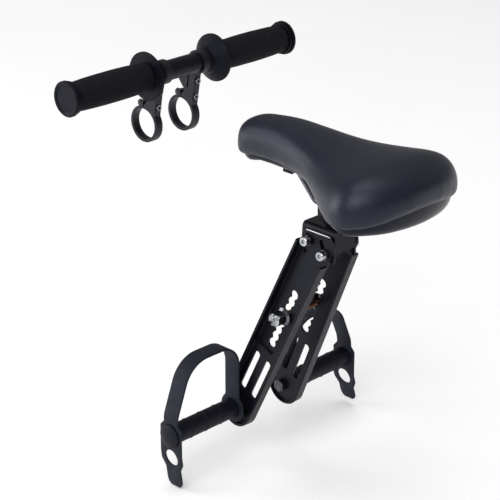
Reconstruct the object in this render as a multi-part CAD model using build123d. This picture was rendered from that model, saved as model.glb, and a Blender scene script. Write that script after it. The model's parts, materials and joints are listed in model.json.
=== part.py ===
"""A child's bicycle seat with foot pegs, foot straps and a small handlebar of its own.

X points forward, Y to the left and Z up, in millimetres.
The origin is on the axis of the tube pad's arch, below the middle of the seat bracket.
"""

from build123d import *

import os
from math import cos, radians, sin, sqrt, tan

# Radii of the arch under the bracket and of the stays' lower rings
TUBE_R = 17.5
BIKE_BAR_R = 17.5

# Clearances
SEAT_GAP = 0.05
TUBE_SIDE_GAP = 0.5
SOFT_GAP = 0.3
TOUCH = 0.01

# Seat bracket
SHEET = 2.5
BRACKET_FRONT = 24.5
BRACKET_REAR = -22.0
BRACKET_RISE = 27.0
BRACKET_BEND_R = 5.0
LEAST_BEND_R = 0.5
WALL_REACH = 0.55
REAR_WALL_GAP = 2.5
PAD_FRONT = 21.0

# Legs
SPLAY = 3.75
LEAN = 23.9
BOLT_RISE = 6.8
LEG_WIDTH = 43.0
LEG_FLANGE = 12.0
LEG_TOP_RISE = 14.2
LEG_BEND_R = 2.0
LEG_CREASE_R = 1.0
LEG_REAR_SHOULDER_R = 11.0
LEG_FRONT_SHOULDER_R = 4.0
FRONT_FLANGE_DROP = 5.0
REAR_FLANGE_DROP = 12.0
PEG_DROP = 236.0
PEG_FORWARD = 3.5
JOGGLE = 3.0
JOGGLE_DROP = 150.0
JOGGLE_CORNER = 7.2
CHAIN_START = 69.3
CHAIN_PITCH = 10.0
CHAIN_HOLES = 8
CHAIN_HOLE_R = 5.2
CHAIN_NECK = 6.4
CROSS_HOLE = 3
LONG_SLOT_DROP = 187.0
LONG_SLOT_LENGTH = 54.0
LONG_SLOT_WIDTH = 8.0
LONG_SLOT_SPACING = 17.5
SMALL_HOLE_DROP = 15.6
SMALL_HOLE_FORWARD = 11.5
SMALL_HOLE_R = 2.5

# Leg bolts
BOLT_R = 3.0
BOLT_HOLE_R = 3.3
BOLT_SPACING = 25.4
BOLT_SHIFT = 0.5
FRONT_BOLT_DROP = 2.0
REAR_BOLT_DROP = 1.2
FRONT_SLOT_LENGTH = 4.5
REAR_SLOT_LENGTH = 13.0
SLOT_SLANT = 25.0
BOLT_HEAD_R = 5.0
BOLT_HEAD_HEIGHT = 6.0
BOLT_HEAD_CHAMFER = 0.5
BOLT_SOCKET_FLATS = 5.0
BOLT_SOCKET_DEPTH = 3.0
WASHER_R = 5.7
WASHER_THICK = 1.6
SPRING_WASHER_R = 5.5
SPRING_WASHER_THICK = 1.6
SPRING_WASHER_SPLIT = 1.2
SPRING_WASHER_SLANT = 20.0
CLINCH_NUT_R = 4.6
CLINCH_NUT_HEIGHT = 2.5

# Hexagon bolts of the pegs and of the rail clamp
HEX_BOLT_R = 4.0
HEX_FLATS = 13.0
HEX_NUT_HEIGHT = 6.5
HEX_HEAD_HEIGHT = 5.5
BOLT_TAIL = 1.5

# Cross bolt
CROSS_R = 4.0
CUP_R = 10.0
CUP_THICK = 2.0
CUP_DEPTH = 4.5
CROSS_NUT_R = 7.5
CROSS_NUT_LENGTH = 13.0
CROSS_NUT_SLOT = 3.5
CROSS_NUT_SLOT_DEPTH = 4.5
CROSS_NUT_CROWN = 1.5
CROSS_NUT_SLOT_TURN = 40.0
CROSS_NUT_BEVEL = 2.0

# Foot pegs
PEG_R = 11.0
PEG_RING_R = 11.5
PEG_RINGS = 3
PEG_RING_HALF = 1.2
PEG_NECK_R = 6.0
BUTTON_R = 13.5
BUTTON_HEIGHT = 5.0
BUTTON_EDGE = 2.0
PEG_BOLT_DEPTH = 70.0
PEG_BOLT_SLACK = 1.0

# Foot straps
STRAP_THICK = 2.5
STRAP_WIDTH = 21.0
STRAP_ROOT_GAP = 0.2
STRAP_RISE = 81.0
STRAP_RIGHT_SAG = 6.0
STRAP_REACH = 92.5
STRAP_ROOT_BEND_R = 26.0
STRAP_TOP_BEND_R = 34.0
STRAP_TIP_BEND_R = 30.0
STRAP_SHOULDER = 22.0
STRAP_SHOULDER_INSET = 22.0
STRAP_TIP_DROP = 63.0
STRAP_TIP_INSET = 6.0
STRAP_RIGHT_TIP_DROP = 58.0
STRAP_RIGHT_TIP_INSET = -11.0
STRAP_EYE_R = 17.0
STRAP_PAD_WIDTH = 32.0
STRAP_PAD_TOP = 15.0
STRAP_PAD_BOTTOM = 41.0
STRAP_PAD_SLOPE = 6.0
STRAP_PAD_TAPER = 9.0
STRAP_PAD_CORNER_R = 4.0
STRAP_TAB_WIDTH = 22.0
STRAP_TAB_END_R = 10.0
STRAP_SPARE_DROP = 27.0
STRAP_SPARE_R = 9.5

# Saddle, with heights above the rails
NOSE_X = 121.5
NOSE_ROUND = 27.0
NOSE_FLARE_X = 88.0
NOSE_HALF = 29.0
WAIST_X = -13.5
WAIST_HALF = 50.5
WAIST_FLARE = 0.5
WING_X = -92.0
WING_HALF = 87.5
TAIL_X = -130.0
TAIL_ROUND = 54.0
WING_RIM = 9.5
NOSE_RIM = 28.5
RIM_RISE_REAR_X = -66.0
RIM_RISE_FRONT_X = 17.0
NOSE_RIM_DROP = 3.0
NOSE_DROP_X = 60.0
NOSE_DROP_RUN = 45.0
TAIL_RIM_RISE = 9.0
TAIL_CROWN = 60.5
NOSE_CROWN = 68.0
CROWN_RISE_X = -37.0
CROWN_TOP_X = 53.5
CROWN_DROP = 4.5
CROWN_DROP_RUN = 60.0
END_LIFT = 11.5
END_HEIGHT = 0.36
END_WIDTH = 0.06
SADDLE_TUCK = 3.0
BELLY_DROP = 0.62
SHOULDER_SHARE = 0.88
SHOULDER_DROP = 0.29
TOP_SHARE = 0.55
TOP_DROP = 0.07
BODY_STATIONS = 8
END_STATIONS = 7
STATION_GAP = 1.0
BASE_INSET = 4.0
BASE_DRAFT = 2.0
BASE_DEPTH = 3.5
SKIRT_DEPTH = 13.0
SKIRT_FRONT_X = -98.0
SKIRT_RUN = 28.0
BASE_PLATE = 2.5
BASE_WALL = 3.5

# Saddle rails and their clamp
RAIL_R = 3.5
RAIL_HALF = 19.0
RAIL_RISE = 29.5
RAIL_BEND_R = 10.0
RAIL_FRONT_BEND_X = 2.5
RAIL_REAR_BEND_X = -42.0
RAIL_NOSE_X = 50.0
RAIL_NOSE_RUN = 15.0
RAIL_NOSE_HALF = 12.0
RAIL_NOSE_RISE = 24.0
RAIL_TAIL_X = -96.0
RAIL_TAIL_RUN = 20.0
RAIL_TAIL_HALF = 34.0
RAIL_TAIL_RISE = 3.5
SOCKET_WALL = 1.5
SOCKET_LENGTH = 12.0
CLAMP_X = -11.0
CLAMP_LENGTH = 14.0
CLAMP_MARGIN = 4.5
CLAMP_PLATE = 7.5
CLAMP_GAP = 1.0
CLAMP_ROUND = 2.0

# Child's handlebar
BAR_X = 223.5
BAR_Z = 165.0
BAR_R = 11.1
BAR_WALL = 1.6
BAR_HALF = 155.0
GUARD_HUB_R = 12.3
COLLAR_R = 14.0
COLLAR_WIDTH = 3.2
COLLAR_GAP = 1.4
GUARD_ROOT_R = 16.0
GUARD_CONE = 8.4
GUARD_R = 27.0
GUARD_EDGE = 2.2
GRIP_END_R = 15.8
GRIP_MID_R = 17.3
GRIP_EDGE_R = 2.0
CAP_R = 19.3
CAP_THICK = 4.0
CAP_RING_R = 18.0
CAP_RING_THICK = 2.5
CAP_RING_GAP = 1.5
CAP_NECK_R = 16.0
CAP_BEVEL = 1.0
CAP_LIP = 2.0
CAP_DISH = 1.2
CAP_DISH_SLOPE = 2.0
CAP_PLUG_LENGTH = 14.0

# Bar stays, with their profile measured forward and upward from the child's bar
STAY_HALF = 28.0
STAY_THICK = 9.0
STAY_RING_R = 13.5
RING_FORWARD = 26.0
RING_DROP = 64.0
RING_WALL = 3.5
STAY_REAR_TOP = (3.0, -21.0)
STAY_REAR_FOOT = (9.5, -58.0)
STAY_NECK = (19.5, -36.0)
JAW_FOOT = (28.5, -25.0)
JAW_TOP = (27.0, -19.0)
SLIT_TOP = (10.3, -4.0)
SLIT_FOOT = (15.0, -32.0)
SLIT_WIDTH = 2.0
LUG_RISE = 4.5
LUG_DEPTH = 7.0
CLAMP_SPLIT = 1.2
BEAD_R = 1.2
SCREW_R = 2.0
SCREW_HEAD_R = 3.5
SCREW_HEAD_HEIGHT = 4.0
SCREW_SOCKET_FLATS = 3.0
SCREW_SOCKET_DEPTH = 2.5
PINCH_SCREW_DROP = 23.0
PINCH_SCREW_SEAT = 5.5
PINCH_NUT_SEAT = 23.5
LUG_SCREW_DROP = 42.0
LUG_SCREW_SEAT = 9.0
SCREW_NUT_FLATS = 7.0
SCREW_NUT_HEIGHT = 3.2
SCREW_TAIL = 1.0

# Worked-out places
splay_slope = tan(radians(SPLAY))
wall_y0 = TUBE_R + TUBE_SIDE_GAP
bolt_level = TUBE_R + BOLT_RISE
bracket_top = TUBE_R + BRACKET_RISE
wall_bottom = TUBE_R * WALL_REACH
rear_wall_bottom = TUBE_R + REAR_WALL_GAP
rail_level = bracket_top + RAIL_RISE
hex_r = HEX_FLATS / sqrt(3)
lean_sin = sin(radians(LEAN))
lean_cos = cos(radians(LEAN))
splay_sin = sin(radians(SPLAY))
splay_cos = cos(radians(SPLAY))


def wall_y(z):
    """Half width between the legs' inner faces at a height."""
    return wall_y0 - splay_slope * z


forward_in_leg = Vector(lean_cos, -lean_sin * splay_sin, lean_sin * splay_cos)
leg_origin = Vector(0, wall_y(bolt_level), bolt_level)
leg_plane = Plane(origin=leg_origin, x_dir=-forward_in_leg, z_dir=(0, splay_cos, splay_sin))


def on_leg(rear, rise, out=0.0):
    """A point of the left leg, from its bolt line: towards the rear, up the leg and outwards."""
    return leg_plane.from_local_coords(Vector(rear, rise, out))


cross_drop = CHAIN_START + CROSS_HOLE * CHAIN_PITCH
cross_centre = on_leg(0, -cross_drop)
peg_centre = on_leg(-PEG_FORWARD, -PEG_DROP)
foot_bottom = peg_centre.Z - LEG_WIDTH / 2
strap_root_y = wall_y(foot_bottom) + LEG_FLANGE / splay_cos + STRAP_THICK / 2 + STRAP_ROOT_GAP
strap_tip_y = strap_root_y + STRAP_REACH
ring_x = BAR_X + RING_FORWARD
ring_z = BAR_Z - RING_DROP


def mirrored(solid):
    """The right-hand twin of a left-hand piece."""
    return mirror(solid, about=Plane.XZ)


def rod(start, direction, radius, length):
    """A round bar from a point along a direction."""
    return extrude(Plane(origin=start, z_dir=direction) * Circle(radius), length)


def hexagon(start, direction, flats, height):
    """A hexagonal block from a point along a direction."""
    outline = RegularPolygon(flats / 2, 6, major_radius=False)
    return extrude(Plane(origin=start, z_dir=direction) * outline, height)


def turned_face(face, x, z):
    """A solid of revolution about a lateral axis, from a face in (radius, y)."""
    profile = Plane(origin=(x, 0, z), x_dir=(1, 0, 0), z_dir=(0, 0, 1)) * face
    return revolve(profile, Axis((x, 0, z), (0, 1, 0)))


def turned(points, x, z):
    """A solid of revolution about a lateral axis, from (radius, y) points."""
    return turned_face(make_face(Polyline(*points, close=True)), x, z)


# Seat bracket


def bracket_profile(inset, bottom):
    """The bracket's upside-down U as a filled outline, set in from its outer face."""
    top = bracket_top - inset
    slant = inset / splay_cos
    corners = [
        (wall_y(bottom) - slant, bottom),
        (wall_y(top) - slant, top),
        (-wall_y(top) + slant, top),
        (-wall_y(bottom) + slant, bottom),
    ]
    outline = Plane.YZ * make_face(Polyline(*corners, close=True))
    upper = outline.vertices().group_by(Axis.Z)[-1]
    return fillet(upper, max(BRACKET_BEND_R - inset, LEAST_BEND_R))


def along_bracket(profile, front, rear):
    return extrude(Pos(rear, 0, 0) * profile, front - rear, dir=(1, 0, 0))


def leg_bolt_places():
    half = BOLT_SPACING / 2
    return [(BOLT_SHIFT - half, -FRONT_BOLT_DROP), (BOLT_SHIFT + half, -REAR_BOLT_DROP)]


def bracket_bolt_holes():
    holes = []
    for rear, rise in leg_bolt_places():
        hole = rod(on_leg(rear, rise, -2 * SHEET), leg_plane.z_dir, BOLT_R + SEAT_GAP, 4 * SHEET)
        holes += [hole, mirrored(hole)]
    return holes


def seat_bracket():
    shell = along_bracket(bracket_profile(0, wall_bottom), BRACKET_FRONT, BRACKET_REAR)
    inside = along_bracket(bracket_profile(SHEET, wall_bottom), BRACKET_FRONT, BRACKET_REAR)
    rear_wall = along_bracket(bracket_profile(0, rear_wall_bottom), BRACKET_REAR + SHEET, BRACKET_REAR)
    shell = shell - inside + rear_wall
    clamp_hole = rod((CLAMP_X, 0, bracket_top + SHEET), (0, 0, -1), HEX_BOLT_R + SEAT_GAP, 3 * SHEET)
    return shell - bracket_bolt_holes() - clamp_hole


def tube_pad():
    """The rubber block inside the bracket, with hollows over the nuts."""
    rear = BRACKET_REAR + SHEET + SEAT_GAP
    pad = along_bracket(bracket_profile(SHEET + SEAT_GAP, wall_bottom), PAD_FRONT, rear)
    pad -= rod((BRACKET_REAR, 0, 0), (1, 0, 0), TUBE_R, PAD_FRONT - BRACKET_REAR)
    for rear, rise in leg_bolt_places():
        depth = SHEET + CLINCH_NUT_HEIGHT + SOFT_GAP
        pocket = rod(on_leg(rear, rise), -leg_plane.z_dir, CLINCH_NUT_R + SOFT_GAP, depth)
        pad -= [pocket, mirrored(pocket)]
    clamp_depth = SHEET + HEX_NUT_HEIGHT + BOLT_TAIL + SOFT_GAP
    return pad - rod((CLAMP_X, 0, bracket_top), (0, 0, -1), hex_r + SOFT_GAP, clamp_depth)


# Legs


def leg_outline(inset):
    """The leg's outline in its own plane, set in from the edge."""
    half = LEG_WIDTH / 2
    top = LEG_TOP_RISE / splay_cos
    front_top = (top - lean_sin * half) / lean_cos
    rear_top = (top + lean_sin * half) / lean_cos
    sides = Polyline((half, -PEG_DROP), (half, rear_top), (-half, front_top), (-half, -PEG_DROP))
    foot = ThreePointArc((-half, -PEG_DROP), (0, -PEG_DROP - half), (half, -PEG_DROP))
    face = make_face([*sides.edges(), foot.edge()])
    corners = face.vertices().group_by(Axis.Y)
    face = fillet(corners[-1], LEG_REAR_SHOULDER_R)
    front = face.vertices().filter_by(lambda v: abs(v.X + half) < TOUCH).sort_by(Axis.Y)[-1]
    face = fillet(front, LEG_FRONT_SHOULDER_R)
    return face if inset == 0 else offset(face, -inset, kind=Kind.INTERSECTION)


def lower_region(lift):
    """The part of the leg's plane below the pressed step, moved down by a lift."""
    half = LEG_WIDTH
    level = -JOGGLE_DROP - lift
    return make_face(Polyline((-half, level), (JOGGLE_CORNER, level), (half, level + half),
                              (half, -2 * PEG_DROP), (-half, -2 * PEG_DROP), close=True))


def leg_slots():
    """All the openings through the leg's web, as one sketch."""
    chain_length = (CHAIN_HOLES - 1) * CHAIN_PITCH
    middle = -CHAIN_START - chain_length / 2
    cuts = Pos(0, middle) * Rectangle(CHAIN_NECK, chain_length)
    for index in range(CHAIN_HOLES):
        cuts += Pos(0, -CHAIN_START - index * CHAIN_PITCH) * Circle(CHAIN_HOLE_R)
    for side in (-1, 1):
        place = Pos(side * LONG_SLOT_SPACING / 2, -LONG_SLOT_DROP)
        cuts += place * SlotOverall(LONG_SLOT_LENGTH, LONG_SLOT_WIDTH, rotation=90)
    for (rear, rise), length in zip(leg_bolt_places(), (FRONT_SLOT_LENGTH, REAR_SLOT_LENGTH)):
        slanted = Pos(rear, rise) * Rot(0, 0, LEAN + SLOT_SLANT) * Pos(0, length / 2)
        cuts += slanted * SlotCenterToCenter(length, 2 * BOLT_HOLE_R, rotation=90)
    cuts += Pos(-SMALL_HOLE_FORWARD, -SMALL_HOLE_DROP) * Circle(SMALL_HOLE_R)
    return cuts


def flange_trim():
    """Clears the flanges from the top of the leg, on a slant from front to rear."""
    half = LEG_WIDTH
    slope = (FRONT_FLANGE_DROP - REAR_FLANGE_DROP) / LEG_WIDTH
    middle = -(FRONT_FLANGE_DROP + REAR_FLANGE_DROP) / 2
    trim = make_face(Polyline((-half, middle - slope * half), (half, middle + slope * half),
                              (half, half), (-half, half), close=True))
    return Pos(0, 0, SHEET) * extrude(trim, LEG_FLANGE)


def pocket(outline, depth):
    """The hollow of the channel down to a depth, with a rounded crease at its foot."""
    hollow = Pos(0, 0, depth) * extrude(outline, LEG_FLANGE)
    return fillet(hollow.edges().group_by(Axis.Z)[0], LEG_CREASE_R)


def leg():
    block = extrude(leg_outline(0), LEG_FLANGE)
    block = fillet(block.edges().group_by(Axis.Z)[0], min(LEG_BEND_R, SHEET - SEAT_GAP))
    inner = leg_outline(SHEET)
    upper_pocket = pocket(inner - lower_region(0), SHEET)
    lower_pocket = pocket(inner, JOGGLE + SHEET)
    under_web = extrude(inner & lower_region(SHEET), JOGGLE)
    channel = block - upper_pocket - lower_pocket - under_web - flange_trim()
    channel -= extrude(leg_slots(), JOGGLE + 2 * SHEET)
    peg_hole = rod((peg_centre.X, 0, peg_centre.Z), (0, 1, 0), HEX_BOLT_R + SEAT_GAP, strap_root_y)
    return leg_plane * channel - peg_hole


# Leg fasteners


def leg_bolt(rear, rise):
    head_seat = SHEET + WASHER_THICK + SPRING_WASHER_THICK
    out = leg_plane.z_dir
    shank_length = head_seat + SHEET + CLINCH_NUT_HEIGHT
    shank = rod(on_leg(rear, rise, head_seat - shank_length), out, BOLT_R, shank_length)
    head = rod(on_leg(rear, rise, head_seat), out, BOLT_HEAD_R, BOLT_HEAD_HEIGHT)
    rim = head.edges().filter_by(GeomType.CIRCLE).sort_by(Axis.Y)[-1]
    head = chamfer(rim, BOLT_HEAD_CHAMFER)
    socket_floor = head_seat + BOLT_HEAD_HEIGHT - BOLT_SOCKET_DEPTH
    socket = hexagon(on_leg(rear, rise, socket_floor), out, BOLT_SOCKET_FLATS, BOLT_SOCKET_DEPTH)
    return shank + head - socket


def leg_washer(rear, rise):
    ring = Circle(WASHER_R) - Circle(BOLT_R + SEAT_GAP)
    return leg_plane * Pos(rear, rise, SHEET) * extrude(ring, WASHER_THICK)


def leg_spring_washer(rear, rise):
    """A split ring with its ends cut on a slant."""
    ring = Circle(SPRING_WASHER_R) - Circle(BOLT_R + SEAT_GAP)
    split = Pos(SPRING_WASHER_R, 0) * Rectangle(2 * SPRING_WASHER_R, SPRING_WASHER_SPLIT)
    split = Rot(0, 0, SPRING_WASHER_SLANT) * split
    place = Pos(rear, rise, SHEET + WASHER_THICK)
    return leg_plane * place * extrude(ring - split, SPRING_WASHER_THICK)


def leg_nut(rear, rise):
    """A round clinch nut on the inside of the bracket's wall."""
    ring = Circle(CLINCH_NUT_R) - Circle(BOLT_R + SEAT_GAP)
    place = Pos(rear, rise, -SHEET - CLINCH_NUT_HEIGHT)
    return leg_plane * place * extrude(ring, CLINCH_NUT_HEIGHT)


def four_of(make):
    """A fastener of the left leg's two places and its twins on the right leg."""
    left = [make(rear, rise) for rear, rise in leg_bolt_places()]
    return Compound(children=left + [mirrored(piece) for piece in left])


# Cross bolt

cup_seat = wall_y(cross_centre.Z - CUP_R) + SHEET / splay_cos + SEAT_GAP
cross_nut_bore = CROSS_NUT_LENGTH - CROSS_NUT_SLOT_DEPTH - CROSS_NUT_CROWN


def cup_washer():
    """A dished washer whose rim stands on the leg's web."""
    hole = CROSS_R + SEAT_GAP
    points = [(CUP_R - CUP_THICK, 0), (CUP_R, 0), (CUP_R, CUP_THICK), (hole + CUP_THICK, CUP_DEPTH),
              (hole, CUP_DEPTH), (hole, CUP_DEPTH - CUP_THICK), (hole + CUP_THICK, CUP_DEPTH - CUP_THICK)]
    return turned([(radius, cup_seat + y) for radius, y in points], cross_centre.X, cross_centre.Z)


def cross_bolt():
    """The head is on the right, and the thread ends inside the round nut on the left."""
    start = (cross_centre.X, -cup_seat - CUP_DEPTH - HEX_HEAD_HEIGHT, cross_centre.Z)
    head = hexagon(start, (0, 1, 0), HEX_FLATS, HEX_HEAD_HEIGHT)
    length = 2 * (cup_seat + CUP_DEPTH) + HEX_HEAD_HEIGHT + cross_nut_bore - SEAT_GAP
    return head + rod(start, (0, 1, 0), CROSS_R, length)


def cross_nut():
    """A round closed nut with a broad driving slot across its outer end."""
    start = cup_seat + CUP_DEPTH
    end = start + CROSS_NUT_LENGTH
    bore_r = CROSS_R + SEAT_GAP
    floor = start + cross_nut_bore
    points = [(bore_r, start), (CROSS_NUT_R, start), (CROSS_NUT_R, end - CROSS_NUT_BEVEL),
              (CROSS_NUT_R - CROSS_NUT_BEVEL, end), (0, end), (0, floor), (bore_r, floor)]
    nut = turned(points, cross_centre.X, cross_centre.Z)
    slot = Box(4 * CROSS_NUT_R, CROSS_NUT_SLOT_DEPTH, CROSS_NUT_SLOT)
    place = Pos(cross_centre.X, end - CROSS_NUT_SLOT_DEPTH / 2, cross_centre.Z)
    return nut - place * Rot(0, CROSS_NUT_SLOT_TURN, 0) * slot


# Foot pegs


web_out = leg_plane.offset(JOGGLE + SHEET)
strap_tip_inner = strap_tip_y - STRAP_THICK / 2


def foot_peg():
    """A rubber peg whose end is a neck and a domed button that holds the strap."""
    root = wall_y(peg_centre.Z) - 2 * PEG_R
    end = strap_tip_inner - SOFT_GAP
    button = strap_tip_y + STRAP_THICK / 2 + SOFT_GAP
    edge = button + BUTTON_EDGE
    crown = button + BUTTON_HEIGHT
    outline = Polyline((0, crown), (0, root), (PEG_R, root), (PEG_R, end), (PEG_NECK_R, end),
                       (PEG_NECK_R, button), (BUTTON_R, button), (BUTTON_R, edge))
    dome_r = (BUTTON_R**2 + (crown - edge) ** 2) / (2 * (crown - edge))
    dome_side = crown - dome_r + sqrt(dome_r**2 - BUTTON_R**2 / 4)
    dome = ThreePointArc((BUTTON_R, edge), (BUTTON_R / 2, dome_side), (0, crown))
    peg = turned_face(make_face([*outline.edges(), dome.edge()]), peg_centre.X, peg_centre.Z)
    grip_start = strap_root_y + STRAP_THICK + SOFT_GAP
    for index in range(PEG_RINGS):
        y = grip_start + (end - grip_start) * (index + 1) / (PEG_RINGS + 1)
        ring = [(PEG_NECK_R, y - PEG_RING_HALF), (PEG_R, y - PEG_RING_HALF), (PEG_RING_R, y),
                (PEG_R, y + PEG_RING_HALF), (PEG_NECK_R, y + PEG_RING_HALF)]
        peg += turned(ring, peg_centre.X, peg_centre.Z)
    peg = split(peg, bisect_by=web_out, keep=Keep.TOP)
    bore_length = wall_y(peg_centre.Z) + PEG_BOLT_DEPTH
    return peg - rod((peg_centre.X, 0, peg_centre.Z), (0, 1, 0), HEX_BOLT_R + SEAT_GAP, bore_length)


def peg_bolt():
    """Its head bears on the inner face of the leg's pressed web."""
    seat = wall_y(peg_centre.Z + hex_r) + JOGGLE / splay_cos - SEAT_GAP
    head = hexagon((peg_centre.X, seat, peg_centre.Z), (0, -1, 0), HEX_FLATS, HEX_HEAD_HEIGHT)
    shank_end = wall_y(peg_centre.Z) + PEG_BOLT_DEPTH - PEG_BOLT_SLACK
    return head + rod((peg_centre.X, seat, peg_centre.Z), (0, 1, 0), HEX_BOLT_R, shank_end - seat)


# Foot straps


def strap_ribbon(rise, tip_drop, tip_inset):
    """The strap's side view, a band of even thickness, as wide as its widest stretch."""
    top = peg_centre.Z + rise
    path = FilletPolyline(
        (strap_root_y, peg_centre.Z - STRAP_EYE_R),
        (strap_root_y, top),
        (strap_tip_y - STRAP_SHOULDER_INSET, top),
        (strap_tip_y, peg_centre.Z + STRAP_SHOULDER),
        (strap_tip_y, peg_centre.Z - STRAP_SHOULDER),
        (strap_tip_y - tip_inset, peg_centre.Z - tip_drop),
        radius=[STRAP_ROOT_BEND_R, STRAP_TOP_BEND_R, STRAP_TIP_BEND_R, STRAP_TIP_BEND_R],
    )
    band = make_face(offset(path, STRAP_THICK / 2, side=Side.BOTH).edges())
    placed = Plane(origin=(peg_centre.X - STRAP_PAD_WIDTH, 0, 0), x_dir=(0, 1, 0), z_dir=(1, 0, 0)) * band
    return extrude(placed, 2 * STRAP_PAD_WIDTH, dir=(1, 0, 0))


def strap_band(rise):
    """The plain stretch of the strap, seen along the peg."""
    height = rise + STRAP_THICK
    return Pos(0, height / 2) * Rectangle(STRAP_WIDTH, height)


def strap_pad(tip_drop):
    """The strap's tip seen along the peg: a broad pad that narrows to a rounded tab."""
    pad_half = STRAP_PAD_WIDTH / 2
    tab_half = STRAP_TAB_WIDTH / 2
    tab_end = -tip_drop - STRAP_THICK
    side = [(STRAP_WIDTH / 2, STRAP_PAD_TOP), (pad_half, STRAP_PAD_TOP - STRAP_PAD_SLOPE),
            (pad_half, STRAP_PAD_TAPER - STRAP_PAD_BOTTOM), (tab_half, -STRAP_PAD_BOTTOM),
            (tab_half, tab_end)]
    pad = make_face(Polyline(*side, *[(-x, y) for x, y in reversed(side)], close=True))
    levels = pad.vertices().group_by(Axis.Y)
    pad = fillet(levels[0], STRAP_TAB_END_R)
    shoulders = [corner for corner in pad.vertices() if tab_end / 2 < corner.Y < STRAP_PAD_TOP - SEAT_GAP]
    return fillet(shoulders, STRAP_PAD_CORNER_R)


def foot_strap(rise, tip_drop, tip_inset):
    middle = strap_root_y + STRAP_REACH / 2
    side_view = Plane(origin=(peg_centre.X, 0, peg_centre.Z), x_dir=(-1, 0, 0), z_dir=(0, 1, 0))
    root = extrude(side_view * (strap_band(rise) + Circle(STRAP_EYE_R)), middle)
    tip = extrude(side_view.offset(middle) * (strap_band(rise) + strap_pad(tip_drop)), middle)
    ribbon = strap_ribbon(rise, tip_drop, tip_inset)
    strap = (ribbon & root) + (ribbon & tip)
    axis_start = (peg_centre.X, strap_root_y - STRAP_THICK, peg_centre.Z)
    eye = rod(axis_start, (0, 1, 0), PEG_R + SEAT_GAP, 2 * STRAP_THICK)
    hole_start = (peg_centre.X, strap_tip_y - 2 * STRAP_THICK, peg_centre.Z)
    button_hole = rod(hole_start, (0, 1, 0), PEG_NECK_R + SOFT_GAP, 4 * STRAP_THICK)
    spare_start = (peg_centre.X, strap_tip_y - 4 * STRAP_THICK, peg_centre.Z - STRAP_SPARE_DROP)
    spare = rod(spare_start, (0, 1, 0), STRAP_SPARE_R, 8 * STRAP_THICK)
    return strap - eye - button_hole - spare


def right_strap():
    """The right strap hangs a little lower, and its tab points outwards."""
    rise = STRAP_RISE - STRAP_RIGHT_SAG
    return mirrored(foot_strap(rise, STRAP_RIGHT_TIP_DROP, STRAP_RIGHT_TIP_INSET))


# Saddle


def within(share):
    return min(max(share, 0.0), 1.0)


def eased(share):
    """A step from 0 to 1 that starts and ends level."""
    share = within(share)
    return share * share * (3 - 2 * share)


def plan_half(x):
    """The saddle's half width before its ends are rounded, from the nose through the waist to the wings."""
    if x > WAIST_X:
        run = NOSE_FLARE_X - WAIST_X
        share = within((NOSE_FLARE_X - x) / run)
        flare = run * WAIST_FLARE * share**2 * (1 - share)
        return NOSE_HALF + (WAIST_HALF - NOSE_HALF) * eased(share) - flare
    run = WAIST_X - WING_X
    share = within((WAIST_X - x) / run)
    flare = run * WAIST_FLARE * share * (1 - share) ** 2
    return WAIST_HALF + (WING_HALF - WAIST_HALF) * eased(share) + flare


def rim_height(x):
    """The height of the cover's lower edge: low along the wings and higher under the nose."""
    rise = eased((x - RIM_RISE_REAR_X) / (RIM_RISE_FRONT_X - RIM_RISE_REAR_X))
    tail = within((WING_X - x) / (WING_X - TAIL_X))
    nose = eased((x - NOSE_DROP_X) / NOSE_DROP_RUN)
    height = WING_RIM + (NOSE_RIM - WING_RIM) * rise + TAIL_RIM_RISE * tail**2 - NOSE_RIM_DROP * nose
    return rail_level + height


def crown_height(x):
    rise = eased((x - CROWN_RISE_X) / (CROWN_TOP_X - CROWN_RISE_X))
    drop = eased((x - CROWN_TOP_X) / CROWN_DROP_RUN)
    return rail_level + TAIL_CROWN + (NOSE_CROWN - TAIL_CROWN) * rise - CROWN_DROP * drop


def end_share(x):
    """What an elliptic end leaves of the saddle's width and height at a station."""
    past = 0.0
    if x > NOSE_X - NOSE_ROUND:
        past = within((x - NOSE_X + NOSE_ROUND) / NOSE_ROUND)
    elif x < TAIL_X + TAIL_ROUND:
        past = within((TAIL_X + TAIL_ROUND - x) / TAIL_ROUND)
    return sqrt(1 - past**2)


def saddle_sizes(x):
    """Half width, cover edge and crown with the ends rounded off, and the share that is left."""
    share = end_share(x)
    rim = rim_height(x) + (1 - share) * END_LIFT
    crown = rim + (crown_height(x) - rim) * (END_HEIGHT + (1 - END_HEIGHT) * share)
    return plan_half(x) * (END_WIDTH + (1 - END_WIDTH) * share), rim, crown, share


def across(x):
    """A plane square to the saddle's length, with its x to the left."""
    return Plane(origin=(x, 0, 0), x_dir=(0, 1, 0), z_dir=(1, 0, 0))


def cover_section(x):
    half, rim, crown, share = saddle_sizes(x)
    height = crown - rim
    upper = [(half - SADDLE_TUCK * share, rim), (half, crown - BELLY_DROP * height),
             (SHOULDER_SHARE * half, crown - SHOULDER_DROP * height),
             (TOP_SHARE * half, crown - TOP_DROP * height), (0, crown)]
    points = upper + [(-y, z) for y, z in reversed(upper[:-1])]
    curve = Spline(*points)
    closing = Line(points[-1], points[0])
    return across(x) * make_face([curve.edge(), closing.edge()])


def saddle_stations():
    """Stations from tail to nose, closer together where the ends round off."""
    first = TAIL_X + TAIL_ROUND
    last = NOSE_X - NOSE_ROUND
    turns = [sin(radians(90 * index / END_STATIONS)) for index in range(1, END_STATIONS + 1)]
    tail = [first - TAIL_ROUND * turn for turn in reversed(turns)]
    nose = [last + NOSE_ROUND * turn for turn in turns]
    step = (last - first) / BODY_STATIONS
    return tail + [first + index * step for index in range(BODY_STATIONS + 1)] + nose


def saddle_cover():
    return loft([cover_section(x) for x in saddle_stations()])


def base_depth(x):
    """The base's height below the cover's edge, deepest at the tail's skirt."""
    return BASE_DEPTH + (SKIRT_DEPTH - BASE_DEPTH) * eased((SKIRT_FRONT_X - x) / SKIRT_RUN)


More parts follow.
